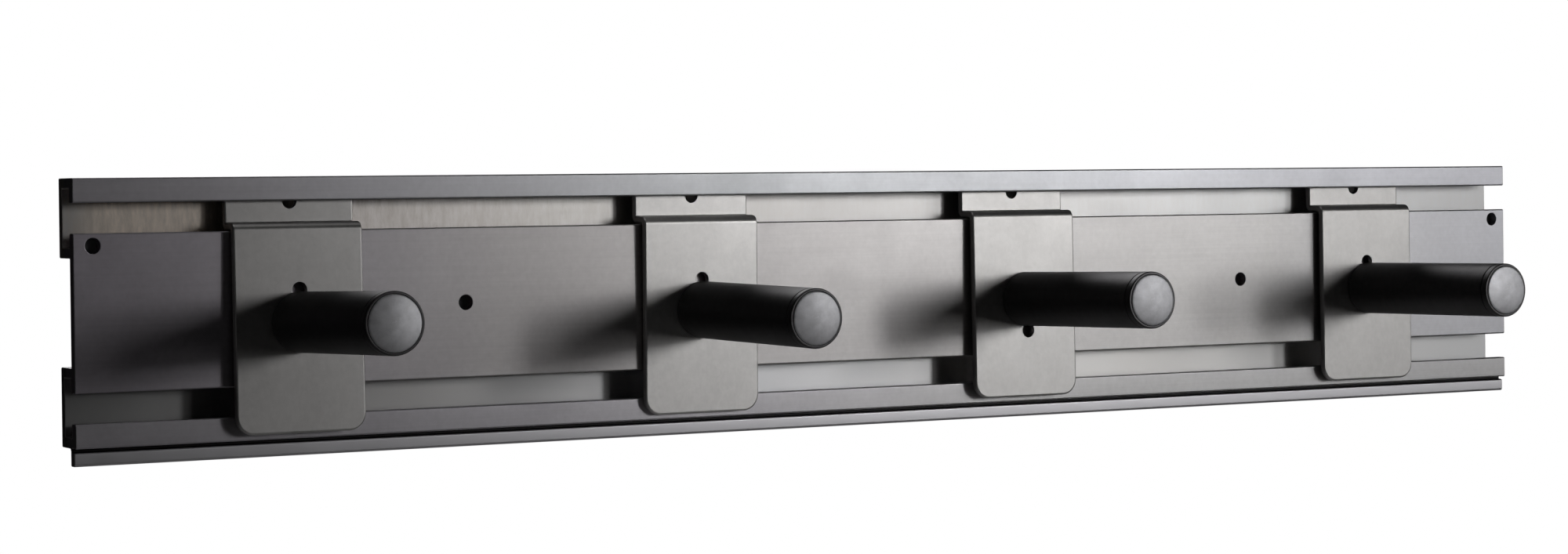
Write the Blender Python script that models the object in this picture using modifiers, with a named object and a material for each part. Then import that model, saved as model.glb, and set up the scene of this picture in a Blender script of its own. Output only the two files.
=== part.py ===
"""Wall hook rack: an extruded aluminium rail with two T-slots and four sliding hooks.

Each hook is a bent bracket whose tab stands behind the rail's top lip, with a round peg bolted square to its face.
Frame: metres, +X to the right along the rail, +Y into the wall, +Z up. The origin is the centre of the upper channel's
rear face, which lies on the wall.
"""

import math

import bmesh
import bpy
from mathutils import Matrix, Vector

MM = 0.001

# ---- rail: one extrusion, profile in (y, z) millimetres -------------------------------------------------------------
RAIL_LENGTH = 762.0
RAIL_DEPTH = 18.0  # wall to front plane
RAIL_TOP = 16.25
CHANNEL_HEIGHT = 32.5
LIP_HEIGHT = 10.1  # each of a channel's two front lips
FRONT_WALL = 4.5  # lips and centre web
BACK_WALL = 3.8
ARM_WALL = 4.0  # roof and floor of each channel
LOWER_CHANNEL_BOTTOM = -93.05
DROP_FLANGE_BOTTOM = -100.25
DROP_FLANGE_SETBACK = 2.0
GROOVE_DEPTH = 2.4  # shadow groove between the lowest lip and the drop flange
GROOVE_HEIGHT = 1.2
EDGE_ROUND = 0.45

# ---- wall screw holes, 1/4 in -------------------------------------------------------------------------------------
WALL_HOLE_R = 3.2
CORNER_HOLE_X = 372.8
CORNER_HOLE_Z = -11.2
WEB_HOLE_X = 208.8
WEB_HOLE_Z = -38.4

# ---- hook bracket: 3 mm plate, bent twice ---------------------------------------------------------------------------
PLATE_WIDTH = 57.15
PLATE = 3.0
PLATE_FRONT_Y = -22.7
TAB_FRONT_Y = -13.1
TAB_TOP_Z = 10.5
SEAT_Z = -5.85  # underside of the shelf that rests on the channel's lower lip
PLATE_BOTTOM_Z = -90.5
BEND_INSIDE = 0.45
BEND_OUTSIDE = BEND_INSIDE + PLATE
CORNER_R = 7.5
PIVOT_Y = -15.75

# ---- peg ------------------------------------------------------------------------------------------------------------
PEG_Z = -44.55
PEG_R = 12.7
PEG_BORE_R = 10.7
GAP = 0.3  # between pieces that touch
TUBE_END = 95.6  # distances along the peg, from the bracket's front face
RING_END = 99.3
CAP_APEX = 101.0
RING_COUNTERBORE_R = 11.55
RING_BORE_R = 10.6
CAP_DISC_R = 11.25
CAP_SPIGOT_R = 10.25
PLUG_R = 10.35
PLUG_LENGTH = 14.0
SCREW_R = 2.5
SCREW_HEAD_R = 4.9
DRAIN_HOLE_R = 3.25
HANG_HOLE_R = 3.15
HANG_HOLE_Z = 6.1

# name, position along the rail, free-play tilt of the bracket in degrees (bottom outwards), drain hole from the peg axis
HOOKS = (
    ("hook_1", -286.5, 1.41, (0.0, 13.4)),
    ("hook_2", -95.8, -0.65, (0.0, 13.4)),
    ("hook_3", 76.8, 0.98, (1.5, -14.9)),
    ("hook_4", 285.1, 0.51, (0.0, 13.2)),
)

ROUND_STEPS = 32
SMALL_STEPS = 20


def clear_scene():
    for obj in list(bpy.data.objects):
        bpy.data.objects.remove(obj, do_unlink=True)
    for store in (bpy.data.meshes, bpy.data.curves, bpy.data.materials):
        for block in list(store):
            store.remove(block)


clear_scene()
scene = bpy.context.scene
scene.unit_settings.system = "METRIC"
scene.unit_settings.scale_length = 1.0

parts = bpy.data.collections.new("wall_hook_rack")
cutters = bpy.data.collections.new("cutters")
scene.collection.children.link(parts)
scene.collection.children.link(cutters)
cutters.hide_render = True


def material(name, colour, roughness, metallic):
    mat = bpy.data.materials.new(name)
    mat.use_nodes = True
    shader = mat.node_tree.nodes["Principled BSDF"]
    shader.inputs["Base Color"].default_value = (*colour, 1.0)
    shader.inputs["Roughness"].default_value = roughness
    shader.inputs["Metallic"].default_value = metallic
    mat.diffuse_color = (*colour, 1.0)
    return mat


RAIL_FINISH = material("rail_satin_anodised", (0.22, 0.22, 0.235), 0.38, 0.9)
BRACKET_FINISH = material("bracket_satin", (0.20, 0.195, 0.195), 0.42, 0.85)
TUBE_FINISH = material("peg_dark_satin", (0.055, 0.053, 0.055), 0.35, 0.85)
CAP_FINISH = material("cap_brushed", (0.30, 0.30, 0.31), 0.42, 0.9)
RING_FINISH = material("ring_dark_satin", (0.06, 0.058, 0.06), 0.35, 0.85)
PLUG_FINISH = material("plug_plain_aluminium", (0.55, 0.55, 0.56), 0.45, 1.0)
SCREW_FINISH = material("screw_zinc_plated", (0.50, 0.50, 0.50), 0.35, 1.0)


def place(obj, collection, mat=None):
    for old in list(obj.users_collection):
        old.objects.unlink(obj)
    collection.objects.link(obj)
    if mat is not None:
        obj.data.materials.clear()
        obj.data.materials.append(mat)
    return obj


def arc(centre, radius, start, end, steps):
    """Points on an arc in the outline's plane, angles in degrees."""
    return [
        (
            centre[0] + radius * math.cos(math.radians(start + (end - start) * i / steps)),
            centre[1] + radius * math.sin(math.radians(start + (end - start) * i / steps)),
        )
        for i in range(steps + 1)
    ]


def outline_solid(name, points, low, high, turn):
    """A flat outline, as a filled 2D curve, extruded from low to high (mm) along its normal, then turned in place."""
    curve = bpy.data.curves.new(name + "_outline", "CURVE")
    curve.dimensions = "2D"
    curve.fill_mode = "BOTH"
    curve.extrude = (high - low) / 2 * MM
    spline = curve.splines.new("POLY")
    spline.points.add(len(points) - 1)
    for point, (u, v) in zip(spline.points, points):
        point.co = (u * MM, v * MM, 0.0, 1.0)
    spline.use_cyclic_u = True
    guide = bpy.data.objects.new(name + "_guide", curve)
    scene.collection.objects.link(guide)
    guide.matrix_world = turn @ Matrix.Translation((0, 0, (low + high) / 2 * MM))
    bpy.context.view_layer.update()
    graph = bpy.context.evaluated_depsgraph_get()
    evaluated = guide.evaluated_get(graph)
    mesh = bpy.data.meshes.new_from_object(evaluated)
    mesh.name = name
    world = guide.matrix_world.copy()
    bpy.data.objects.remove(guide, do_unlink=True)
    bm = bmesh.new()
    bm.from_mesh(mesh)
    bmesh.ops.remove_doubles(bm, verts=bm.verts, dist=0.00001)
    # the curve's caps come triangulated: each becomes one face, so that a bevel runs cleanly round it
    bm.normal_update()
    caps = [f for f in bm.faces if abs(f.normal.z) > 0.9]
    bmesh.ops.delete(bm, geom=caps, context="FACES")
    bmesh.ops.edgeloop_fill(bm, edges=[e for e in bm.edges if e.is_boundary])
    bmesh.ops.transform(bm, matrix=world, verts=bm.verts)
    bmesh.ops.recalc_face_normals(bm, faces=bm.faces)
    bm.to_mesh(mesh)
    bm.free()
    return bpy.data.objects.new(name, mesh)


# outline (u, v) = (y, z), extruded along x
ALONG_X = Matrix(((0, 0, 1, 0), (1, 0, 0, 0), (0, 1, 0, 0), (0, 0, 0, 1)))
# outline (u, v) = (x, z), extruded along -y
ALONG_Y = Matrix(((1, 0, 0, 0), (0, 0, -1, 0), (0, 1, 0, 0), (0, 0, 0, 1)))


def cylinder(name, radius, low, high, centre, steps, axis="Y", radius_low=None):
    """A capped cylinder or cone from low to high along the axis, as a cutter."""
    bm = bmesh.new()
    bmesh.ops.create_cone(
        bm,
        cap_ends=True,
        segments=steps,
        radius1=(radius if radius_low is None else radius_low) * MM,
        radius2=radius * MM,
        depth=(high - low) * MM,
    )
    bmesh.ops.translate(bm, verts=bm.verts, vec=(0, 0, (low + high) / 2 * MM))
    if axis == "Y":
        bmesh.ops.rotate(
            bm, verts=bm.verts, cent=(0, 0, 0), matrix=Matrix.Rotation(-math.pi / 2, 3, "X")
        )
    mesh = bpy.data.meshes.new(name)
    bm.to_mesh(mesh)
    bm.free()
    obj = bpy.data.objects.new(name, mesh)
    obj.location = Vector(centre) * MM
    return place(obj, cutters)


def as_cutter(obj, parent=None):
    obj.hide_render = True
    obj.display_type = "WIRE"
    if parent is not None:
        obj.parent = parent
    return obj


def cut(obj, tool, operation="DIFFERENCE"):
    modifier = obj.modifiers.new("cut_" + tool.name, "BOOLEAN")
    modifier.operation = operation
    modifier.object = tool
    modifier.solver = "EXACT"


def soften(obj, width, segments, angle=40):
    modifier = obj.modifiers.new("edges", "BEVEL")
    modifier.width = width * MM
    modifier.segments = segments
    modifier.limit_method = "ANGLE"
    modifier.angle_limit = math.radians(angle)
    modifier.use_clamp_overlap = True


def turned(name, profile, steps, mat, closed):
    """A turned piece: the profile's (radius, distance) points swept round the piece's own Z axis."""
    mesh = bpy.data.meshes.new(name)
    bm = bmesh.new()
    verts = [bm.verts.new((r * MM, 0.0, s * MM)) for r, s in profile]
    for a, b in zip(verts, verts[1:]):
        bm.edges.new((a, b))
    if closed:
        bm.edges.new((verts[-1], verts[0]))
    bm.to_mesh(mesh)
    bm.free()
    obj = bpy.data.objects.new(name, mesh)
    screw = obj.modifiers.new("turn", "SCREW")
    screw.axis = "Z"
    screw.angle = 2 * math.pi
    screw.steps = steps
    screw.render_steps = steps
    screw.use_merge_vertices = True
    screw.merge_threshold = 0.00002
    screw.use_smooth_shade = True
    return place(obj, parts, mat)


# ---- rail -----------------------------------------------------------------------------------------------------------
def rail_profile():
    front = -RAIL_DEPTH
    lip_back = front + FRONT_WALL
    top, low_top = RAIL_TOP, LOWER_CHANNEL_BOTTOM + CHANNEL_HEIGHT
    points = []

    def channel(roof):
        """Front and inside of one C-shaped channel, from its roof down."""
        floor = roof - CHANNEL_HEIGHT
        return [
            (front, roof - LIP_HEIGHT),
            (lip_back, roof - LIP_HEIGHT),
            (lip_back, roof - ARM_WALL),
            (-BACK_WALL, roof - ARM_WALL),
            (-BACK_WALL, floor + ARM_WALL),
            (lip_back, floor + ARM_WALL),
            (lip_back, floor + LIP_HEIGHT),
            (front, floor + LIP_HEIGHT),
        ]

    points += [(0.0, top), (front, top)]
    points += channel(top)
    points += channel(low_top)
    flange = front + DROP_FLANGE_SETBACK
    root = flange + GROOVE_DEPTH
    points += [
        (front, LOWER_CHANNEL_BOTTOM),
        (root, LOWER_CHANNEL_BOTTOM + 0.5),
        (root, LOWER_CHANNEL_BOTTOM - GROOVE_HEIGHT),
        (flange, LOWER_CHANNEL_BOTTOM - GROOVE_HEIGHT - 0.3),
        (flange, DROP_FLANGE_BOTTOM),
        (flange + FRONT_WALL, DROP_FLANGE_BOTTOM),
        (flange + FRONT_WALL, LOWER_CHANNEL_BOTTOM - 1.0),
        (flange + FRONT_WALL + 1.0, LOWER_CHANNEL_BOTTOM),
        (0.0, LOWER_CHANNEL_BOTTOM),
        (0.0, low_top),
        (lip_back, low_top),
        (lip_back, top - CHANNEL_HEIGHT),
        (0.0, top - CHANNEL_HEIGHT),
    ]
    return points


rail = outline_solid("rail", rail_profile(), -RAIL_LENGTH / 2, RAIL_LENGTH / 2, ALONG_X)
place(rail, parts, RAIL_FINISH)
soften(rail, EDGE_ROUND, 1)
for label, x, z in (
    ("corner_left", -CORNER_HOLE_X, CORNER_HOLE_Z),
    ("corner_right", CORNER_HOLE_X, CORNER_HOLE_Z),
    ("web_left", -WEB_HOLE_X, WEB_HOLE_Z),
    ("web_right", WEB_HOLE_X, WEB_HOLE_Z),
):
    hole = cylinder("hole_" + label, WALL_HOLE_R, -RAIL_DEPTH - 4, 4, (x, 0, z), 24)
    cut(rail, as_cutter(hole))


# ---- hooks ----------------------------------------------------------------------------------------------------------
def bracket_profile():
    """Side outline in (y, z), measured from the hook's pivot line on the channel's lower lip."""
    front, tab_front = PLATE_FRONT_Y - PIVOT_Y, TAB_FRONT_Y - PIVOT_Y
    top, bottom = TAB_TOP_Z - SEAT_Z, PLATE_BOTTOM_Z - SEAT_Z
    inner, outer = BEND_INSIDE, BEND_OUTSIDE
    points = [(tab_front + PLATE, top), (tab_front, top)]
    points += arc((tab_front - inner, PLATE + inner), inner, 0, -90, 3)
    points += arc((front + outer, PLATE - outer), outer, 90, 180, 6)
    points += [(front, bottom), (front + PLATE, bottom)]
    points += arc((front + outer, PLATE - outer), inner, 180, 90, 3)
    points += arc((tab_front - inner, PLATE + inner), outer, -90, 0, 6)
    return points


def plate_outline():
    """Front outline in (x, z): square at the tab, rounded at the two lower corners."""
    half, bottom = PLATE_WIDTH / 2, PLATE_BOTTOM_Z - SEAT_Z
    top = TAB_TOP_Z - SEAT_Z + 5.0
    points = [(half, top), (-half, top)]
    points += arc((-half + CORNER_R, bottom + CORNER_R), CORNER_R, 180, 270, 7)
    points += arc((half - CORNER_R, bottom + CORNER_R), CORNER_R, 270, 360, 7)
    return points


def peg_piece(obj, frame):
    """Stands a turned piece on the bracket's front face, its own Z pointing out along the peg."""
    obj.parent = frame
    obj.location = Vector((0.0, PLATE_FRONT_Y - PIVOT_Y, PEG_Z - SEAT_Z)) * MM
    obj.rotation_euler = (math.pi / 2, 0.0, 0.0)
    return obj


def make_hook(name, x, tilt, drain):
    frame = bpy.data.objects.new(name + "_frame", None)
    frame.location = Vector((x, PIVOT_Y, SEAT_Z)) * MM
    frame.rotation_euler = (-math.radians(tilt), 0.0, 0.0)
    parts.objects.link(frame)

    half = PLATE_WIDTH / 2
    bracket = outline_solid(
        name + "_bracket", bracket_profile(), -half - 2, half + 2, ALONG_X
    )
    place(bracket, parts, BRACKET_FINISH)
    bracket.parent = frame
    trim = outline_solid(name + "_trim", plate_outline(), -20, 20, ALONG_Y)
    cut(bracket, as_cutter(place(trim, cutters), frame), "INTERSECT")
    soften(bracket, 0.35, 1, 50)
    peg_z = PEG_Z - SEAT_Z
    back = PLATE_FRONT_Y - PIVOT_Y + PLATE
    for label, radius, low, high, across, z, steps in (
        ("drain", DRAIN_HOLE_R, back - 8, back + 4, drain[0], peg_z + drain[1], 24),
        ("hang", HANG_HOLE_R, -3, 12, 0.0, HANG_HOLE_Z - SEAT_Z, 24),
        ("shank", SCREW_R + GAP, back - 8, back + 4, 0.0, peg_z, SMALL_STEPS),
    ):
        tool = cylinder(f"{name}_{label}", radius, low, high, (across, 0, z), steps)
        cut(bracket, as_cutter(tool, frame))
    # countersink in the rear face, wider towards the wall
    tool = cylinder(
        name + "_sink",
        SCREW_HEAD_R + GAP + 0.2,
        back - 2.6,
        back + 0.2,
        (0, 0, peg_z),
        SMALL_STEPS,
        radius_low=SCREW_R + GAP - 0.1,
    )
    cut(bracket, as_cutter(tool, frame))

    peg_piece(
        turned(
            name + "_peg_tube",
            [
                (PEG_R - 0.4, TUBE_END),
                (PEG_R, TUBE_END - 0.4),
                (PEG_R, GAP + 0.4),
                (PEG_R - 0.4, GAP),
                (PEG_BORE_R, GAP),
                (PEG_BORE_R, TUBE_END),
            ],
            ROUND_STEPS,
            TUBE_FINISH,
            True,
        ),
        frame,
    )
    peg_piece(
        turned(
            name + "_root_plug",
            [
                (PLUG_R - 0.6, PLUG_LENGTH),
                (PLUG_R, PLUG_LENGTH - 0.6),
                (PLUG_R, GAP),
                (SCREW_R + GAP, GAP),
                (SCREW_R + GAP, PLUG_LENGTH),
            ],
            SMALL_STEPS,
            PLUG_FINISH,
            True,
        ),
        frame,
    )
    # countersunk screw from behind: its head lies in the bracket, flush with the rear face
    peg_piece(
        turned(
            name + "_root_screw",
            [
                (0.0, 12.0),
                (SCREW_R - 0.6, 12.0),
                (SCREW_R, 11.4),
                (SCREW_R, -PLATE + 2.5),
                (SCREW_HEAD_R, -PLATE + 0.2),
                (SCREW_HEAD_R, -PLATE),
                (2.0, -PLATE),
                (1.8, -PLATE + 1.4),
                (0.0, -PLATE + 1.4),
            ],
            SMALL_STEPS,
            SCREW_FINISH,
            False,
        ),
        frame,
    )
    ring_start = TUBE_END + GAP
    seat = 98.0
    peg_piece(
        turned(
            name + "_trim_ring",
            [(RING_COUNTERBORE_R, RING_END)]
            + [
                (PEG_R - 1.1 + 1.1 * math.sin(a), RING_END - 1.1 + 1.1 * math.cos(a))
                for a in (math.radians(d) for d in (10, 35, 60, 90))
            ]
            + [
                (PEG_R, ring_start + 0.35),
                (PEG_R - 0.35, ring_start),
                (RING_BORE_R, ring_start),
                (RING_BORE_R, seat),
                (RING_COUNTERBORE_R, seat),
            ],
            ROUND_STEPS,
            RING_FINISH,
            True,
        ),
        frame,
    )
    # domed disc with a hollow spigot that plugs into the tube
    disc_back, disc_edge = seat + GAP, 99.0
    dome = [
        (
            CAP_DISC_R * math.sin(math.radians(a)) / math.sin(math.radians(80)),
            disc_edge
            + (CAP_APEX - disc_edge)
            * (math.cos(math.radians(a)) - math.cos(math.radians(80)))
            / (1 - math.cos(math.radians(80))),
        )
        for a in (0, 18, 36, 54, 68, 80)
    ]
    peg_piece(
        turned(
            name + "_end_cap",
            dome
            + [
                (CAP_DISC_R, disc_back),
                (CAP_SPIGOT_R, disc_back),
                (CAP_SPIGOT_R, 87.6),
                (CAP_SPIGOT_R - 0.6, 87.0),
                (8.0, 87.0),
                (8.0, 96.5),
                (0.0, 96.5),
            ],
            ROUND_STEPS,
            CAP_FINISH,
            False,
        ),
        frame,
    )


for hook in HOOKS:
    make_hook(*hook)

for obj in cutters.objects:
    obj.hide_render = True
    obj.display_type = "WIRE"

for obj in parts.objects:
    if obj.type == "MESH":
        obj.data.shade_smooth()
        obj.data.set_sharp_from_angle(angle=math.radians(35))

bpy.context.view_layer.update()
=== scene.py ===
"""Looks of the wall hook rack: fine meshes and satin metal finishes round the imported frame."""

import math

import bmesh
import bpy
from mathutils import Matrix, Vector


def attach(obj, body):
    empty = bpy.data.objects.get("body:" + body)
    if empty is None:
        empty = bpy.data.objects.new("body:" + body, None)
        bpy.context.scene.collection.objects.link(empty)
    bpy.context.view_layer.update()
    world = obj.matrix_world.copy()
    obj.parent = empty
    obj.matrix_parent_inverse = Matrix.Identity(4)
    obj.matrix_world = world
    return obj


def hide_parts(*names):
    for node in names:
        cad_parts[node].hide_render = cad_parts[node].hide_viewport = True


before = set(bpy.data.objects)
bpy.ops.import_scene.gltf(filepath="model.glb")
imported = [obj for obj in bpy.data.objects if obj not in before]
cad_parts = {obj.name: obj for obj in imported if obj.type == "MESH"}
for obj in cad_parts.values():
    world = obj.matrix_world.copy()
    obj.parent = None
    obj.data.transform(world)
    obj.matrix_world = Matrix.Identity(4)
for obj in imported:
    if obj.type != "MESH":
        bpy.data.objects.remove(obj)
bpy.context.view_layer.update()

MM = 0.001
scene = bpy.context.scene

# ---- the frame's own dimensions, in millimetres -------------------------------------------------------------------
RAIL_LENGTH = 762.0
RAIL_DEPTH = 18.0
RAIL_TOP = 16.25
CHANNEL_HEIGHT = 32.5
LIP_HEIGHT = 10.1
FRONT_WALL = 4.5
BACK_WALL = 3.8
ARM_WALL = 4.0
LOWER_CHANNEL_BOTTOM = -93.05
DROP_FLANGE_BOTTOM = -100.25
DROP_FLANGE_SETBACK = 2.0
GROOVE_DEPTH = 2.4
GROOVE_HEIGHT = 1.2
WALL_HOLE_R = 3.2
HOLES = ((-372.8, -11.2, True), (372.8, -11.2, True), (-208.8, -38.4, False), (208.8, -38.4, False))

PLATE_WIDTH = 57.15
PLATE = 3.0
PLATE_FRONT_Y = -22.7
TAB_FRONT_Y = -13.1
TAB_TOP_Z = 10.5
SEAT_Z = -5.85
PLATE_BOTTOM_Z = -90.5
BEND_INSIDE = 0.45
BEND_OUTSIDE = BEND_INSIDE + PLATE
CORNER_R = 7.5
EDGE = 0.9
PIVOT_Y = -15.75

PEG_Z = -44.55
PEG_R = 12.7
PEG_BORE_R = 10.7
GAP = 0.3
TUBE_END = 95.6
RING_END = 99.3
CAP_APEX = 101.0
RING_COUNTERBORE_R = 11.55
RING_BORE_R = 10.6
CAP_SPIGOT_R = 10.25
PLUG_R = 10.35
PLUG_LENGTH = 14.0
SCREW_R = 2.5
SCREW_HEAD_R = 4.9
DRAIN_HOLE_R = 3.25
HANG_HOLE_R = 3.15
HANG_HOLE_Z = 6.1

HOOKS = (
    ("hook_1", -286.5, 1.41, (0.0, 13.4)),
    ("hook_2", -95.8, -0.65, (0.0, 13.4)),
    ("hook_3", 76.8, 0.98, (1.5, -14.9)),
    ("hook_4", 285.1, 0.51, (0.0, 13.2)),
)


# ---- materials --------------------------------------------------------------------------------------------------
class Nodes:
    """A small helper that adds shader nodes and links them."""

    def __init__(self, name):
        self.material = bpy.data.materials.new(name)
        self.material.use_nodes = True
        self.tree = self.material.node_tree
        self.shader = self.tree.nodes["Principled BSDF"]
        self.position = self.tree.nodes.new("ShaderNodeTexCoord").outputs["Object"]

    def link(self, source, target):
        self.tree.links.new(source, target)

    def mapped(self, scale):
        node = self.tree.nodes.new("ShaderNodeMapping")
        node.inputs["Scale"].default_value = scale
        self.link(self.position, node.inputs["Vector"])
        return node.outputs["Vector"]

    def noise(self, vector, scale, detail=3.0, rough=0.55, distortion=0.0):
        node = self.tree.nodes.new("ShaderNodeTexNoise")
        node.inputs["Scale"].default_value = scale
        node.inputs["Detail"].default_value = detail
        node.inputs["Roughness"].default_value = rough
        node.inputs["Distortion"].default_value = distortion
        self.link(vector, node.inputs["Vector"])
        return node.outputs["Fac"]

    def spread(self, value, low, high, out_low, out_high):
        node = self.tree.nodes.new("ShaderNodeMapRange")
        node.inputs["From Min"].default_value = low
        node.inputs["From Max"].default_value = high
        node.inputs["To Min"].default_value = out_low
        node.inputs["To Max"].default_value = out_high
        self.link(value, node.inputs["Value"])
        return node.outputs["Result"]

    def maths(self, operation, a, b):
        node = self.tree.nodes.new("ShaderNodeMath")
        node.operation = operation
        for socket, value in zip(node.inputs, (a, b)):
            if isinstance(value, (int, float)):
                socket.default_value = value
            else:
                self.link(value, socket)
        return node.outputs["Value"]

    def mix(self, factor, low, high):
        node = self.tree.nodes.new("ShaderNodeMix")
        node.data_type = "RGBA"
        self.link(factor, node.inputs["Factor"])
        for socket, value in ((node.inputs[6], low), (node.inputs[7], high)):
            if isinstance(value, tuple):
                socket.default_value = (*value, 1.0)
            else:
                self.link(value, socket)
        return node.outputs[2]

    def multiply(self, a, b):
        node = self.tree.nodes.new("ShaderNodeMix")
        node.data_type = "RGBA"
        node.blend_type = "MULTIPLY"
        node.inputs["Factor"].default_value = 1.0
        self.link(a, node.inputs[6])
        self.link(b, node.inputs[7])
        return node.outputs[2]

    def bump(self, height, strength, distance, before=None):
        node = self.tree.nodes.new("ShaderNodeBump")
        node.inputs["Strength"].default_value = strength
        node.inputs["Distance"].default_value = distance
        self.link(height, node.inputs["Height"])
        if before is not None:
            self.link(before, node.inputs["Normal"])
        return node.outputs["Normal"]


def satin_metal(name, light, dark, rough, grain, cloud_scale=9.0, fine=0.00002, light_paint=None, speck=0.0, drawn=0.3, mottle=0.25, cast=None):
    """Satin metal: cloudy tone, a mottled skin, fine directional grain in both tone and gloss.

    grain is the mapping scale of the grain: a small number along the direction that it was drawn. drawn and mottle are
    the shares of the grain and of the mottling in the tone, and the rest is cloud.
    """
    n = Nodes(name)
    n.shader.inputs["Metallic"].default_value = 1.0
    cloud = n.noise(n.position, cloud_scale, 4.0, 0.6, 0.4)
    lines = n.noise(n.mapped(grain), 1.0, 4.0, 0.7)
    spots = n.noise(n.position, 330.0, 3.0, 0.6, 0.3)
    skin = n.noise(n.position, 1400.0, 2.0, 0.6)
    smudge = n.noise(n.position, 38.0, 3.0, 0.5, 1.2)
    surface = n.maths("ADD", n.maths("MULTIPLY", lines, drawn), n.maths("MULTIPLY", spots, mottle))
    tone = n.maths("ADD", n.maths("MULTIPLY", cloud, 1.0 - drawn - mottle), surface)
    colour = n.mix(n.spread(tone, 0.36, 0.64, 0.0, 1.0), dark, light)
    if cast is not None:
        colour = n.multiply(colour, cast(n))
    extra_rough = None
    # painted light: an optional colour painted over the tone where light, reflection or shade falls, with extra
    # roughness
    if light_paint is not None:
        painted_colour, amount, extra_rough = light_paint(n)
        colour = n.mix(amount, colour, painted_colour)
    if speck:
        dots = n.noise(n.position, 420.0, 2.0, 0.7)
        colour = n.mix(n.spread(dots, 0.66, 0.74, 0.0, speck), colour, tuple(c * 1.5 for c in light))
    n.link(colour, n.shader.inputs["Base Color"])
    gloss = n.maths("ADD", n.maths("MULTIPLY", lines, 0.4), n.maths("MULTIPLY", smudge, 0.6))
    roughness = n.spread(gloss, 0.3, 0.7, rough - 0.03, rough + 0.03)
    if extra_rough is not None:
        roughness = n.maths("ADD", roughness, extra_rough)
    n.link(roughness, n.shader.inputs["Roughness"])
    first = n.bump(lines, 0.35, fine * 1.5)
    n.link(n.bump(skin, 0.4, fine, first), n.shader.inputs["Normal"])
    return n.material


def ramp(n, value, stops):
    """A colour that changes along a value."""
    node = n.tree.nodes.new("ShaderNodeValToRGB")
    n.link(value, node.inputs["Fac"])
    elements = node.color_ramp.elements
    elements[0].position, elements[0].color = stops[0][0], (*stops[0][1], 1.0)
    elements[1].position, elements[1].color = stops[-1][0], (*stops[-1][1], 1.0)
    for place, colour in stops[1:-1]:
        element = elements.new(place)
        element.color = (*colour, 1.0)
    return node.outputs["Color"]


def channel_painted_light(n):
    """Painted light and shade inside the channels: warm at the left of the upper one, pale and even to the right, as
    ramps along the rail that stand in for how the light falls there; with a painted warm reflection, a painted lighter
    flange, painted shade in the groove and a little more roughness inside.
    """
    axes = n.tree.nodes.new("ShaderNodeSeparateXYZ")
    n.link(n.position, axes.inputs["Vector"])
    along = n.spread(axes.outputs["X"], -0.381, 0.381, 0.0, 1.0)
    inside = n.spread(axes.outputs["Y"], -0.0075, -0.0055, 0.0, 1.0)
    brushed = n.noise(n.mapped((420.0, 420.0, 120.0)), 1.0, 4.0, 0.7)
    # painted light and shade: these ramps lighten, darken and warm the back walls along the rail where the light falls
    upper = ramp(
        n,
        along,
        (
            (0.004, (0.55, 0.54, 0.53)),
            (0.022, (1.0, 0.89, 0.78)),
            (0.10, (0.98, 0.87, 0.77)),
            (0.15, (1.0, 0.94, 0.905)),
            (0.30, (0.98, 0.95, 0.92)),
            (0.43, (0.82, 0.80, 0.785)),
            (0.51, (0.80, 0.785, 0.775)),
            (0.65, (0.83, 0.82, 0.815)),
            (0.75, (0.80, 0.80, 0.80)),
            (1.0, (0.64, 0.64, 0.645)),
        ),
    )
    lower = ramp(
        n, along, ((0.0, (0.42, 0.42, 0.42)), (0.2, (0.58, 0.57, 0.565)), (0.42, (0.76, 0.76, 0.775)), (0.7, (0.715, 0.70, 0.685)), (1.0, (0.65, 0.65, 0.655)))
    )
    which = n.spread(axes.outputs["Z"], -0.045, -0.035, 0.0, 1.0)
    wall = n.mix(which, lower, upper)
    # painted reflection: warm brown in brushed patches at the left of the upper back wall stands in for a warm
    # reflection
    warm_reflection = n.mix(n.spread(brushed, 0.35, 0.65, 0.0, 1.0), wall, (0.62, 0.56, 0.50))
    share = n.maths("MULTIPLY", which, n.spread(axes.outputs["X"], -0.30, -0.10, 0.6, 0.12))
    wall = n.mix(share, wall, warm_reflection)
    # painted light: the flange below the groove is lightened to stand in for the light on its face
    flange = n.spread(axes.outputs["Z"], -0.0948, -0.0942, 1.0, 0.0)
    colour = n.mix(flange, wall, (0.70, 0.69, 0.715))
    flange_face = (-RAIL_DEPTH + DROP_FLANGE_SETBACK) * MM
    # painted shade: near-black in the groove under the lower lip stands in for its shadow
    groove_shade = n.maths(
        "MULTIPLY",
        n.spread(axes.outputs["Y"], flange_face + 0.0001, flange_face + 0.0004, 0.0, 1.0),
        n.spread(axes.outputs["Z"], (LOWER_CHANNEL_BOTTOM - GROOVE_HEIGHT - 0.5) * MM, (LOWER_CHANNEL_BOTTOM - GROOVE_HEIGHT - 0.35) * MM, 0.0, 1.0),
    )
    groove_shade = n.maths("MULTIPLY", groove_shade, n.spread(axes.outputs["Z"], (LOWER_CHANNEL_BOTTOM + 0.02) * MM, (LOWER_CHANNEL_BOTTOM + 0.1) * MM, 1.0, 0.0))
    groove_shade = n.maths("MULTIPLY", groove_shade, n.spread(axes.outputs["Y"], flange_face + (GROOVE_DEPTH + 0.2) * MM, flange_face + (GROOVE_DEPTH + 0.4) * MM, 1.0, 0.0))
    colour = n.mix(groove_shade, colour, (0.03, 0.03, 0.03))
    amount = n.maths("MAXIMUM", n.maths("MAXIMUM", inside, flange), groove_shade)
    return colour, amount, n.maths("MULTIPLY", n.maths("MULTIPLY", inside, which), 0.05)


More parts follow.
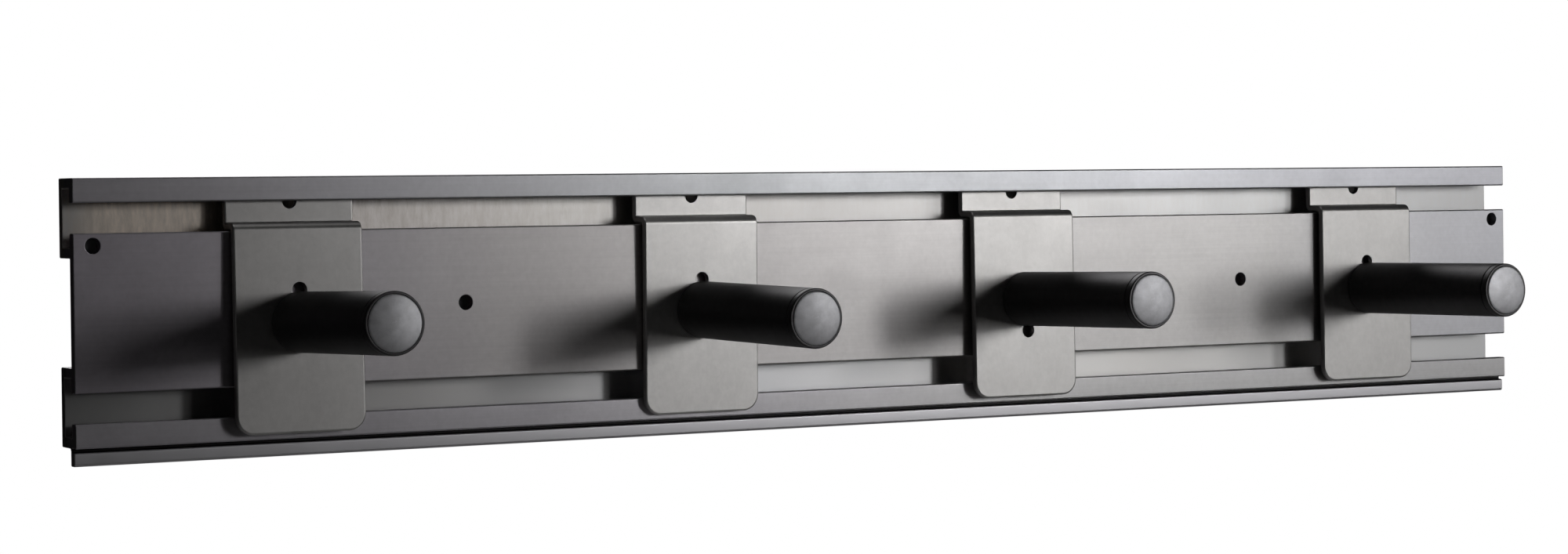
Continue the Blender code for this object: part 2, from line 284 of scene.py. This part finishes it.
def rail_cast(n):
    """The slight colour of the rail's outer faces: the lips are cool, the web is warm and turns violet and blue at its ends."""
    axes = n.tree.nodes.new("ShaderNodeSeparateXYZ")
    n.link(n.position, axes.inputs["Vector"])
    along = n.spread(axes.outputs["X"], -0.381, 0.381, 0.0, 1.0)
    web = ramp(
        n,
        along,
        (
            (0.0, (0.96, 0.90, 0.99)),
            (0.12, (0.95, 0.91, 0.97)),
            (0.25, (0.965, 0.933, 0.93)),
            (0.80, (0.96, 0.945, 0.933)),
            (0.92, (0.93, 0.93, 0.965)),
            (1.0, (0.92, 0.925, 0.975)),
        ),
    )
    lips = ramp(n, along, ((0.0, (0.94, 0.91, 0.97)), (0.4, (0.915, 0.94, 0.97)), (1.0, (0.92, 0.925, 0.985))))
    low = ramp(n, along, ((0.0, (0.94, 0.91, 0.97)), (0.4, (0.945, 0.925, 0.97)), (0.6, (0.945, 0.94, 0.94)), (1.0, (0.945, 0.94, 0.945))))
    top = n.spread(axes.outputs["Z"], -0.002, 0.002, 0.0, 1.0)
    bottom = n.spread(axes.outputs["Z"], -0.080, -0.077, 1.0, 0.0)
    return n.mix(bottom, n.mix(top, web, lips), low)


RAIL_METAL = satin_metal("rail_satin_anodised", (0.655, 0.65, 0.65), (0.545, 0.54, 0.54), 0.385, (8.0, 900.0, 900.0), light_paint=channel_painted_light, drawn=0.25, mottle=0.3, cast=rail_cast)
PLATE_PAINTED_LIGHT = {"hook_1": 1.0, "hook_2": 1.32, "hook_3": 0.955, "hook_4": 0.985}  # painted light: the plates' colours differ a little, scaled to stand in for how the light falls on each at its tilt
PLATE_METAL = {
    name: satin_metal(
        "bracket_satin_" + name,
        tuple(c * share for c in (0.617, 0.603, 0.592)),
        tuple(c * share for c in (0.529, 0.518, 0.508)),
        0.39,
        (500.0, 500.0, 160.0),
        16.0,
        drawn=0.2,
        mottle=0.4,
    )
    for name, share in PLATE_PAINTED_LIGHT.items()
}
TUBE_METAL = satin_metal("peg_dark_satin", (0.125, 0.12, 0.125), (0.09, 0.087, 0.09), 0.46, (160.0, 160.0, 700.0), 30.0)
RING_METAL = satin_metal("ring_dark_satin", (0.12, 0.118, 0.12), (0.08, 0.078, 0.08), 0.4, (200.0, 200.0, 900.0), 30.0)
CAP_METAL = satin_metal("cap_brushed", (0.76, 0.758, 0.785), (0.54, 0.538, 0.558), 0.50, (240.0, 240.0, 240.0), 120.0, 0.00003, speck=0.2)
PLUG_METAL = satin_metal("plug_plain_aluminium", (0.72, 0.72, 0.73), (0.62, 0.62, 0.63), 0.34, (120.0, 120.0, 900.0), 40.0)
SCREW_METAL = satin_metal("screw_zinc_plated", (0.66, 0.66, 0.64), (0.55, 0.55, 0.52), 0.3, (400.0, 400.0, 400.0), 90.0)


# ---- mesh tools -------------------------------------------------------------------------------------------------
def fillet(corners, steps=5):
    """A closed outline from (u, v, radius) corners, each rounded by an arc."""
    points = []
    count = len(corners)
    for i, (u, v, r) in enumerate(corners):
        p = Vector((u, v))
        before = Vector(corners[i - 1][:2]) - p
        after = Vector(corners[(i + 1) % count][:2]) - p
        a, b = before.normalized(), after.normalized()
        angle = a.angle(b)
        if r <= 0 or angle > math.radians(178):
            points.append((u, v))
            continue
        reach = min(r / math.tan(angle / 2), 0.49 * before.length, 0.49 * after.length)
        radius = reach * math.tan(angle / 2)
        centre = p + (a + b).normalized() * (radius / math.sin(angle / 2))
        start, end = p + a * reach - centre, p + b * reach - centre
        turn = start.angle_signed(end)
        for k in range(steps + 1):
            c, s = math.cos(-turn * k / steps), math.sin(-turn * k / steps)
            points.append((centre.x + c * start.x - s * start.y, centre.y + s * start.x + c * start.y))
    return points


def circle(u, v, r, steps, clockwise=True):
    sign = -1 if clockwise else 1
    return [(u + r * math.cos(sign * 2 * math.pi * k / steps), v + r * math.sin(sign * 2 * math.pi * k / steps)) for k in range(steps)]


def slab(name, loops, low, high, edge, segments=3):
    """Outlines filled and extruded from low to high in mm, with every rim rounded by edge. Returns a bmesh in mm."""
    curve = bpy.data.curves.new(name + "_outline", "CURVE")
    curve.dimensions = "2D"
    curve.fill_mode = "BOTH"
    curve.extrude = (high - low) / 2 - edge
    curve.bevel_depth = edge
    curve.bevel_resolution = segments
    curve.offset = -edge
    for loop in loops:
        spline = curve.splines.new("POLY")
        spline.points.add(len(loop) - 1)
        for point, (u, v) in zip(spline.points, loop):
            point.co = (u, v, 0.0, 1.0)
        spline.use_cyclic_u = True
    guide = bpy.data.objects.new(name + "_guide", curve)
    scene.collection.objects.link(guide)
    bpy.context.view_layer.update()
    mesh = bpy.data.meshes.new_from_object(guide.evaluated_get(bpy.context.evaluated_depsgraph_get()))
    bpy.data.objects.remove(guide, do_unlink=True)
    bm = bmesh.new()
    bm.from_mesh(mesh)
    bpy.data.meshes.remove(mesh)
    bmesh.ops.remove_doubles(bm, verts=bm.verts, dist=0.0005)
    bmesh.ops.translate(bm, verts=bm.verts, vec=(0, 0, (low + high) / 2))
    return bm


def one_face_caps(bm):
    """Each flat cap becomes one face."""
    bm.normal_update()
    levels = [v.co.z for v in bm.verts]
    top, bottom = max(levels), min(levels)
    caps = [f for f in bm.faces if all(abs(v.co.z - top) < 1e-4 for v in f.verts) or all(abs(v.co.z - bottom) < 1e-4 for v in f.verts)]
    bmesh.ops.delete(bm, geom=caps, context="FACES")
    bmesh.ops.edgeloop_fill(bm, edges=[e for e in bm.edges if e.is_boundary])


def finished(name, bm, material, matrix=None, sharp=38, weighted=True):
    """A bmesh in mm becomes an object in metres, smooth shaded with flat faces kept flat."""
    bmesh.ops.scale(bm, verts=bm.verts, vec=(MM, MM, MM))
    if matrix is not None:
        bmesh.ops.transform(bm, matrix=matrix, verts=bm.verts)
    bmesh.ops.recalc_face_normals(bm, faces=bm.faces)
    mesh = bpy.data.meshes.new(name)
    bm.to_mesh(mesh)
    bm.free()
    mesh.shade_smooth()
    mesh.set_sharp_from_angle(angle=math.radians(sharp))
    mesh.materials.append(material)
    obj = bpy.data.objects.new(name, mesh)
    scene.collection.objects.link(obj)
    if weighted:
        flat = obj.modifiers.new("flat_faces", "WEIGHTED_NORMAL")
        flat.keep_sharp = True
        flat.weight = 90
    return obj


def lathe(profile, steps, closed):
    """(radius, distance) points turned about Z, as a bmesh in mm."""
    bm = bmesh.new()
    rings = []
    for r, s in profile:
        if r < 1e-6:
            rings.append([bm.verts.new((0, 0, s))])
        else:
            rings.append([bm.verts.new((r * math.cos(2 * math.pi * k / steps), r * math.sin(2 * math.pi * k / steps), s)) for k in range(steps)])
    pairs = list(zip(rings, rings[1:]))
    if closed:
        pairs.append((rings[-1], rings[0]))
    for a, b in pairs:
        for k in range(steps):
            j = (k + 1) % steps
            corners = [a[k % len(a)], a[j % len(a)], b[j % len(b)], b[k % len(b)]]
            unique = []
            for v in corners:
                if v not in unique:
                    unique.append(v)
            if len(unique) > 2:
                bm.faces.new(unique)
    bmesh.ops.recalc_face_normals(bm, faces=bm.faces)
    return bm


def bored(obj, cutters):
    """Cuts the holes and applies the cut, so that no cutter is left."""
    for cutter in cutters:
        modifier = obj.modifiers.new("hole", "BOOLEAN")
        modifier.operation = "DIFFERENCE"
        modifier.object = cutter
        modifier.solver = "EXACT"
    keep = [m for m in obj.modifiers if m.type == "WEIGHTED_NORMAL"]
    for m in keep:
        obj.modifiers.remove(m)
    bpy.context.view_layer.update()
    mesh = bpy.data.meshes.new_from_object(obj.evaluated_get(bpy.context.evaluated_depsgraph_get()))
    old = obj.data
    obj.modifiers.clear()
    obj.data = mesh
    mesh.name = obj.name
    bpy.data.meshes.remove(old)
    mesh.shade_smooth()
    mesh.set_sharp_from_angle(angle=math.radians(38))
    flat = obj.modifiers.new("flat_faces", "WEIGHTED_NORMAL")
    flat.keep_sharp = True
    flat.weight = 90
    for cutter in cutters:
        bpy.data.objects.remove(cutter, do_unlink=True)
    return obj


def hole_cutter(name, faces, radius, centre, steps=72, rim=0.28):
    """A cutter along Y whose rims flare at each wall face, so that every hole gets a small rounded edge.

    faces are (y_front, y_back) of each wall, in mm.
    """
    profile = []
    for front, back in faces:
        profile += [(radius + rim + 0.25, front - 0.25), (radius + rim, front), (radius + rim * 0.35, front + rim * 0.3), (radius, front + rim)]
        profile += [(radius, back - rim), (radius + rim * 0.35, back - rim * 0.3), (radius + rim, back), (radius + rim + 0.25, back + 0.25)]
    low, high = profile[0][1], profile[-1][1]
    bm = lathe([(0.0, low)] + profile + [(0.0, high)], steps, False)
    bmesh.ops.scale(bm, verts=bm.verts, vec=(MM, MM, MM))
    bmesh.ops.rotate(bm, verts=bm.verts, cent=(0, 0, 0), matrix=Matrix.Rotation(-math.pi / 2, 3, "X"))
    bmesh.ops.translate(bm, verts=bm.verts, vec=(centre[0] * MM, 0, centre[1] * MM))
    bmesh.ops.recalc_face_normals(bm, faces=bm.faces)
    mesh = bpy.data.meshes.new(name)
    bm.to_mesh(mesh)
    bm.free()
    obj = bpy.data.objects.new(name, mesh)
    scene.collection.objects.link(obj)
    return obj


# ---- rail -------------------------------------------------------------------------------------------------------
def rail_corners():
    front = -RAIL_DEPTH
    lip_back = front + FRONT_WALL
    top, low_top = RAIL_TOP, LOWER_CHANNEL_BOTTOM + CHANNEL_HEIGHT
    outer, inner = 0.7, 0.6

    def channel(roof):
        floor = roof - CHANNEL_HEIGHT
        return [
            (front, roof - LIP_HEIGHT, outer),
            (lip_back, roof - LIP_HEIGHT, outer),
            (lip_back, roof - ARM_WALL, inner),
            (-BACK_WALL, roof - ARM_WALL, inner),
            (-BACK_WALL, floor + ARM_WALL, inner),
            (lip_back, floor + ARM_WALL, inner),
            (lip_back, floor + LIP_HEIGHT, outer),
            (front, floor + LIP_HEIGHT, outer),
        ]

    corners = [(0.0, top, outer), (front, top, outer)]
    corners += channel(top)
    corners += channel(low_top)
    flange = front + DROP_FLANGE_SETBACK
    root = flange + GROOVE_DEPTH
    corners += [
        (front, LOWER_CHANNEL_BOTTOM, 0.7),
        (root, LOWER_CHANNEL_BOTTOM + 0.5, 0.15),
        (root, LOWER_CHANNEL_BOTTOM - GROOVE_HEIGHT, 0.15),
        (flange, LOWER_CHANNEL_BOTTOM - GROOVE_HEIGHT - 0.3, 0.9),
        (flange, DROP_FLANGE_BOTTOM, 1.1),
        (flange + FRONT_WALL, DROP_FLANGE_BOTTOM, outer),
        (flange + FRONT_WALL, LOWER_CHANNEL_BOTTOM - 1.0, 0.4),
        (flange + FRONT_WALL + 1.0, LOWER_CHANNEL_BOTTOM, 0.4),
        (0.0, LOWER_CHANNEL_BOTTOM, outer),
        (0.0, low_top, outer),
        (lip_back, low_top, inner),
        (lip_back, top - CHANNEL_HEIGHT, inner),
        (0.0, top - CHANNEL_HEIGHT, outer),
    ]
    return corners


ALONG_X = Matrix(((0, 0, 1, 0), (1, 0, 0, 0), (0, 1, 0, 0), (0, 0, 0, 1)))

bm = slab("rail", [fillet(rail_corners(), 4)], -RAIL_LENGTH / 2, RAIL_LENGTH / 2, 0.4, 3)
one_face_caps(bm)
rail = finished("rail_extrusion", bm, RAIL_METAL, ALONG_X)
cutters = []
for index, (x, z, both) in enumerate(HOLES):
    walls = [(-RAIL_DEPTH, -RAIL_DEPTH + FRONT_WALL)] + ([(-BACK_WALL, 0.0)] if both else [])
    cutters.append(hole_cutter(f"hole_{index}", walls, WALL_HOLE_R, (x, z)))
bored(rail, cutters)
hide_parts("rail")
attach(rail, "rail_body")


# ---- hooks ------------------------------------------------------------------------------------------------------
TAB = TAB_TOP_Z - (SEAT_Z + PLATE + BEND_INSIDE)
BEND_RUN = (BEND_INSIDE + PLATE / 2) * math.pi / 2
SHELF = (TAB_FRONT_Y - BEND_INSIDE) - (PLATE_FRONT_Y + BEND_OUTSIDE)
FALL_TOP_Z = SEAT_Z + PLATE - BEND_OUTSIDE
STATIONS = [TAB, TAB + BEND_RUN, TAB + BEND_RUN + SHELF, TAB + 2 * BEND_RUN + SHELF]


def run_of(z):
    """Distance along the unrolled plate of a height on the hanging part."""
    return STATIONS[3] + FALL_TOP_Z - z


def bent(run, depth):
    """(y, z) in mm of a point at that distance from the tab's top edge and depth behind the front face."""
    if run <= STATIONS[0]:
        return TAB_FRONT_Y + depth, TAB_TOP_Z - run
    if run <= STATIONS[1]:
        a = -(run - STATIONS[0]) / BEND_RUN * math.pi / 2
        r = BEND_INSIDE + depth
        return TAB_FRONT_Y - BEND_INSIDE + r * math.cos(a), SEAT_Z + PLATE + BEND_INSIDE + r * math.sin(a)
    if run <= STATIONS[2]:
        return TAB_FRONT_Y - BEND_INSIDE - (run - STATIONS[1]), SEAT_Z + PLATE - depth
    if run <= STATIONS[3]:
        a = math.pi / 2 + (run - STATIONS[2]) / BEND_RUN * math.pi / 2
        r = BEND_OUTSIDE - depth
        return PLATE_FRONT_Y + BEND_OUTSIDE + r * math.cos(a), FALL_TOP_Z + r * math.sin(a)
    return PLATE_FRONT_Y + depth, FALL_TOP_Z - (run - STATIONS[3])


def bracket_mesh(name):
    half, end = PLATE_WIDTH / 2, run_of(PLATE_BOTTOM_Z)
    outline = fillet([(half, 0.0, 1.2), (-half, 0.0, 1.2), (-half, -end, CORNER_R), (half, -end, CORNER_R)], 20)
    bm = slab(name, [outline], 0.0, PLATE, EDGE, 4)
    one_face_caps(bm)
    stations = list(STATIONS)
    for start in (STATIONS[0], STATIONS[2]):
        stations += [start + BEND_RUN * k / 10 for k in range(1, 10)]
    stations += [run_of(z) for z in (-25.0, -40.0, -52.0, -65.0, -80.0)]
    for run in stations:
        bmesh.ops.bisect_plane(bm, geom=bm.verts[:] + bm.edges[:] + bm.faces[:], dist=1e-5, plane_co=(0, -run, 0), plane_no=(0, 1, 0))
    for v in bm.verts:
        x, run, depth = v.co.x, -v.co.y, PLATE - v.co.z
        y, z = bent(run, depth)
        v.co = Vector((x, y, z))
    return bm


def peg_matrix(x, tilt):
    """A turned piece's own frame: Z out along the peg from the bracket's front face, in metres."""
    hang = Matrix.Translation(Vector((x, PIVOT_Y, SEAT_Z)) * MM) @ Matrix.Rotation(-math.radians(tilt), 4, "X")
    return hang, hang @ Matrix.Translation(Vector((0.0, PLATE_FRONT_Y - PIVOT_Y, PEG_Z - SEAT_Z)) * MM) @ Matrix.Rotation(math.pi / 2, 4, "X")


def stand(obj, matrix, body, node):
    obj.matrix_world = matrix
    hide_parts(node)
    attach(obj, body)
    return obj


def make_hook(name, x, tilt, drain):
    hang, peg = peg_matrix(x, tilt)
    back = Matrix.Translation(Vector((0.0, -PIVOT_Y, -SEAT_Z)) * MM)

    bm = bracket_mesh(name)
    bracket = finished(name + "_bent_plate", bm, PLATE_METAL[name])
    sink = lathe([(0.0, -0.2), (SCREW_R + GAP - 0.1, -0.2), (SCREW_R + GAP - 0.1, PLATE - 2.6), (SCREW_HEAD_R + GAP, PLATE), (SCREW_HEAD_R + GAP, PLATE + 0.4), (0.0, PLATE + 0.4)], 56, False)
    bmesh.ops.scale(sink, verts=sink.verts, vec=(MM, MM, MM))
    bmesh.ops.rotate(sink, verts=sink.verts, cent=(0, 0, 0), matrix=Matrix.Rotation(-math.pi / 2, 3, "X"))
    bmesh.ops.translate(sink, verts=sink.verts, vec=Vector((0, PLATE_FRONT_Y, PEG_Z)) * MM)
    bmesh.ops.recalc_face_normals(sink, faces=sink.faces)
    sink_mesh = bpy.data.meshes.new(name + "_sink")
    sink.to_mesh(sink_mesh)
    sink.free()
    cutter = bpy.data.objects.new(name + "_sink", sink_mesh)
    scene.collection.objects.link(cutter)
    drain_tool = hole_cutter(name + "_drain", [(PLATE_FRONT_Y, PLATE_FRONT_Y + PLATE)], DRAIN_HOLE_R, (drain[0], PEG_Z + drain[1]), 64, 0.22)
    hang_tool = hole_cutter(name + "_hang", [(TAB_FRONT_Y, TAB_FRONT_Y + PLATE)], HANG_HOLE_R, (0.0, HANG_HOLE_Z), 64, 0.22)
    bored(bracket, [cutter, drain_tool, hang_tool])
    stand(bracket, hang @ back, name, name + "_bracket")

    tube = lathe(
        fillet([(PEG_BORE_R, GAP, 0.3), (PEG_R, GAP, 0.5), (PEG_R, TUBE_END, 0.4), (PEG_BORE_R, TUBE_END, 0.3)], 5), 160, True
    )
    stand(finished(name + "_tube", tube, TUBE_METAL), peg, name, name + "_peg_tube")

    plug = lathe(fillet([(SCREW_R + GAP, GAP, 0.3), (PLUG_R, GAP, 0.6), (PLUG_R, PLUG_LENGTH, 0.9), (SCREW_R + GAP, PLUG_LENGTH, 0.4)], 4), 96, True)
    stand(finished(name + "_plug", plug, PLUG_METAL), peg, name, name + "_root_plug")

    pitch, thread = 0.8, []
    s = 11.2
    while s > 0.6:
        thread += [(SCREW_R, s), (SCREW_R - 0.42, s - pitch / 2)]
        s -= pitch
    screw = lathe(
        [(0.0, 12.0), (SCREW_R - 0.7, 12.0), (SCREW_R - 0.1, 11.5)]
        + thread
        + [(SCREW_R, 0.3), (SCREW_R, -PLATE + 2.5), (SCREW_HEAD_R - 0.1, -PLATE + 0.3), (SCREW_HEAD_R, -PLATE + 0.15), (SCREW_HEAD_R - 0.15, -PLATE), (1.9, -PLATE), (1.75, -PLATE + 0.15), (1.75, -PLATE + 1.5), (0.0, -PLATE + 1.9)],
        48,
        False,
    )
    stand(finished(name + "_screw", screw, SCREW_METAL, weighted=False), peg, name, name + "_root_screw")

    start, seat = TUBE_END + GAP, 98.0
    ring = lathe(
        fillet(
            [
                (RING_BORE_R, start, 0.2),
                (PEG_R, start, 0.4),
                (PEG_R, RING_END, 0.8),
                (RING_COUNTERBORE_R, RING_END, 0.12),
                (RING_COUNTERBORE_R, seat, 0.1),
                (RING_BORE_R, seat, 0.2),
            ],
            6,
        ),
        160,
        True,
    )
    stand(finished(name + "_ring", ring, RING_METAL), peg, name, name + "_trim_ring")

    disc_back, disc_edge = seat + GAP, 99.8
    disc_r, rise = 11.4, CAP_APEX - 0.25 - 99.8
    dome = [((disc_r - 0.4) * k / 16, disc_edge + rise * (1 - (k / 16) ** 2)) for k in range(17)]
    dome += [(disc_r - 0.14, disc_edge - 0.1), (disc_r - 0.03, disc_edge - 0.28)]
    cap = lathe(
        dome
        + [(disc_r, disc_edge - 0.5), (disc_r, disc_back + 0.1), (disc_r - 0.1, disc_back), (CAP_SPIGOT_R, disc_back)]
        + [(CAP_SPIGOT_R, 87.6), (CAP_SPIGOT_R - 0.2, 87.2), (CAP_SPIGOT_R - 0.6, 87.0), (8.3, 87.0), (8.0, 87.3), (8.0, 96.2), (7.7, 96.5), (0.0, 96.5)],
        160,
        False,
    )
    stand(finished(name + "_cap", cap, CAP_METAL, weighted=False), peg, name, name + "_end_cap")


for hook in HOOKS:
    make_hook(*hook)


# ---- stage ------------------------------------------------------------------------------------------------------
def pale_floor():
    bm = bmesh.new()
    bmesh.ops.create_circle(bm, cap_ends=True, segments=96, radius=1.6)
    mesh = bpy.data.meshes.new("floor")
    bm.to_mesh(mesh)
    bm.free()
    floor = bpy.data.objects.new("floor", mesh)
    floor.location = (0.0, 0.0, -0.62)
    scene.collection.objects.link(floor)
    n = Nodes("floor_pale")
    n.shader.inputs["Roughness"].default_value = 0.9
    pale = n.mix(n.noise(n.position, 3.0, 3.0), (0.78, 0.78, 0.78), (0.82, 0.82, 0.82))
    n.link(pale, n.shader.inputs["Base Color"])
    lit = n.tree.nodes.new("ShaderNodeEmission")  # the lamps are aimed at the rack, so the floor is shown evenly pale to the camera
    n.link(pale, lit.inputs["Color"])
    path = n.tree.nodes.new("ShaderNodeLightPath")
    seen = n.tree.nodes.new("ShaderNodeMixShader")
    n.link(path.outputs["Is Camera Ray"], seen.inputs["Fac"])
    n.link(n.shader.outputs["BSDF"], seen.inputs[1])
    n.link(lit.outputs["Emission"], seen.inputs[2])
    n.link(seen.outputs["Shader"], n.tree.nodes["Material Output"].inputs["Surface"])
    mesh.materials.append(n.material)


pale_floor()


def painted_shade_behind(name, x, z, radius):
    """A dark sheet just behind the front wall that paints the shade seen through a hole of the rail. From behind it is
    clear.
    """
    bm = bmesh.new()
    bmesh.ops.create_circle(bm, cap_ends=True, segments=40, radius=radius * MM)
    bmesh.ops.rotate(bm, verts=bm.verts, cent=(0, 0, 0), matrix=Matrix.Rotation(math.pi / 2, 3, "X"))
    mesh = bpy.data.meshes.new(name)
    bm.to_mesh(mesh)
    bm.free()
    patch = bpy.data.objects.new(name, mesh)
    patch.location = (x * MM, (-RAIL_DEPTH + FRONT_WALL + 0.15) * MM, z * MM)
    scene.collection.objects.link(patch)
    mesh.materials.append(PAINTED_SHADE_SHEET)


def painted_shade_material():
    n = Nodes("painted_shade_sheet")
    n.shader.inputs["Roughness"].default_value = 0.9
    # painted shade: the sheet's dark grey stands in for the shade inside the hole
    n.link(n.mix(n.noise(n.position, 90.0, 3.0), (0.10, 0.10, 0.10), (0.14, 0.14, 0.14)), n.shader.inputs["Base Color"])
    clear = n.tree.nodes.new("ShaderNodeBsdfTransparent")
    sides = n.tree.nodes.new("ShaderNodeNewGeometry")
    both = n.tree.nodes.new("ShaderNodeMixShader")
    n.link(sides.outputs["Backfacing"], both.inputs["Fac"])
    n.link(n.shader.outputs["BSDF"], both.inputs[1])
    n.link(clear.outputs["BSDF"], both.inputs[2])
    n.link(both.outputs["Shader"], n.tree.nodes["Material Output"].inputs["Surface"])
    return n.material


PAINTED_SHADE_SHEET = painted_shade_material()
for index, (x, z, both) in enumerate(HOLES):
    painted_shade_behind(f"painted_shade_sheet_{index}", x, z, 3.6)


def studio_world(seen, given):
    """A white studio seen behind the object, that gives little light itself."""
    world = bpy.data.worlds.new("studio")
    world.use_nodes = True
    scene.world = world
    tree = world.node_tree
    tree.nodes.clear()
    out = tree.nodes.new("ShaderNodeOutputWorld")
    back = tree.nodes.new("ShaderNodeBackground")
    back.inputs["Color"].default_value = (*seen, 1.0)
    soft = tree.nodes.new("ShaderNodeBackground")
    soft.name = "soft"
    soft.inputs["Color"].default_value = (*given, 1.0)
    mix = tree.nodes.new("ShaderNodeMixShader")
    path = tree.nodes.new("ShaderNodeLightPath")
    tree.links.new(path.outputs["Is Camera Ray"], mix.inputs["Fac"])
    tree.links.new(soft.outputs[0], mix.inputs[1])
    tree.links.new(back.outputs[0], mix.inputs[2])
    tree.links.new(mix.outputs[0], out.inputs["Surface"])


studio_world((1.0, 1.0, 1.0), (0.004, 0.004, 0.004))


def softbox(name, place, aim, width, height, power, colour=(1.0, 1.0, 1.0)):
    light = bpy.data.lights.new(name, "AREA")
    light.shape = "RECTANGLE"
    light.size, light.size_y = width, height
    light.energy = power
    light.color = colour
    light.spread = math.radians(75)
    obj = bpy.data.objects.new(name, light)
    obj.location = place
    obj.rotation_euler = (Vector(aim) - Vector(place)).to_track_quat("-Z", "Y").to_euler()
    scene.collection.objects.link(obj)
    return obj


AIM = Vector((0.12, -0.018, -0.04))


def round_the_rack(name, azimuth, elevation, distance, width, height, power, colour=(1.0, 1.0, 1.0)):
    """A softbox seen from the rack's middle at that azimuth, from -Y towards +X, and elevation."""
    a, e = math.radians(azimuth), math.radians(elevation)
    place = AIM + distance * Vector((math.sin(a) * math.cos(e), -math.cos(a) * math.cos(e), math.sin(e)))
    return softbox(name, place, AIM, width, height, power, colour)


round_the_rack("key_left", 22.0, 8.0, 2.0, 0.22, 0.45, 0.08)
round_the_rack("key", 30.0, 9.0, 2.0, 0.22, 0.45, 0.6)
round_the_rack("key_low", 30.0, -2.0, 2.0, 0.22, 0.3, 0.045)
round_the_rack("key_right", 44.0, 6.0, 2.0, 0.22, 0.4, 0.2)
round_the_rack("right", 60.0, 0.0, 2.0, 0.3, 0.4, 0.145)
round_the_rack("top_back", 168.0, 30.0, 1.8, 1.1, 0.9, 1.2)
round_the_rack("overhead", -25.0, 76.0, 1.7, 1.0, 0.7, 0.3)
round_the_rack("left", -50.0, 8.0, 2.0, 0.5, 0.5, 0.03)

# ---- camera -----------------------------------------------------------------------------------------------------
YAW, PITCH, ROLL = math.radians(29.327), math.radians(-0.671), math.radians(-0.695)
ahead = Vector((math.sin(YAW) * math.cos(PITCH), math.cos(YAW) * math.cos(PITCH), math.sin(PITCH)))
right = Vector((math.cos(YAW), -math.sin(YAW), 0.0))
up = right.cross(ahead)
side = math.cos(ROLL) * right + math.sin(ROLL) * up
lift = -math.sin(ROLL) * right + math.cos(ROLL) * up
camera_data = bpy.data.cameras.new("camera")
camera_data.lens = 72.82
camera_data.sensor_width = 36.0
camera_data.sensor_fit = "HORIZONTAL"
camera_data.shift_x = 0.0294
camera_data.shift_y = -0.0295
camera_data.clip_start, camera_data.clip_end = 0.05, 100.0
camera = bpy.data.objects.new("camera", camera_data)
camera.matrix_world = Matrix(
    (
        (side.x, lift.x, -ahead.x, -0.77165),
        (side.y, lift.y, -ahead.y, -1.25845),
        (side.z, lift.z, -ahead.z, 0.00673),
        (0.0, 0.0, 0.0, 1.0),
    )
)
scene.collection.objects.link(camera)
scene.camera = camera

scene.view_settings.view_transform = "Standard"
scene.view_settings.look = "None"
